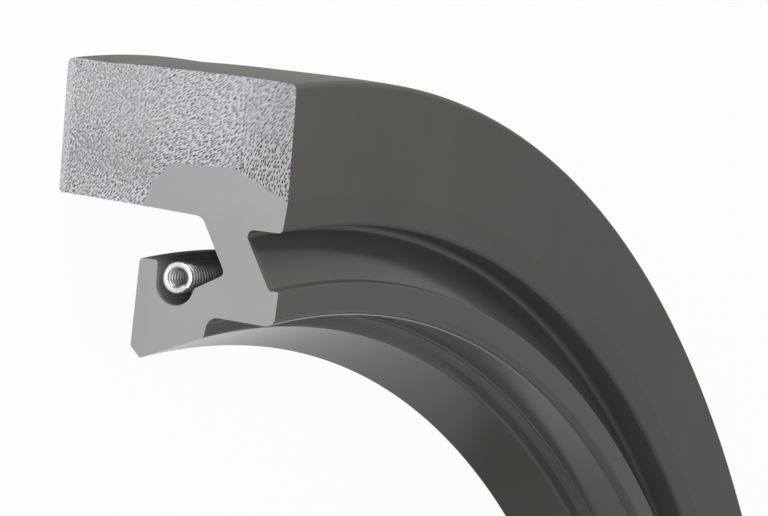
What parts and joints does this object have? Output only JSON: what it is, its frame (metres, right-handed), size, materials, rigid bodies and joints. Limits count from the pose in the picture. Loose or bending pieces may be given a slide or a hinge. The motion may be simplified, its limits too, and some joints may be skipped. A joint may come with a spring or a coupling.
{
  "type": "oil seal",
  "caption": "Large radial shaft oil seal, cut open: fabric-reinforced back, rubber sealing lip with a flexible neck, and a garter spring in its groove.",
  "frame": {"origin": "on the ring's axis, in the plane of the oil side's flat face on which the seal lies", "axes": "+Z along the axis towards the air side; the gap between the two cut faces runs from 15 to 75 degrees, turning from +X towards +Y"},
  "size_m": [0.34, 0.34, 0.018],
  "materials": {
    "reinforced_rubber": "satin moulded rubber over fabric; pale, with dark yarn flecks, where it is cut",
    "lip_rubber": "satin moulded rubber; even light grey where it is cut",
    "spring_steel": "bright drawn wire"
  },
  "bodies": {
    "root": {"fabric_back": "reinforced_rubber", "sealing_lip": "lip_rubber", "garter_spring": "spring_steel"}
  },
  "joints": []
}
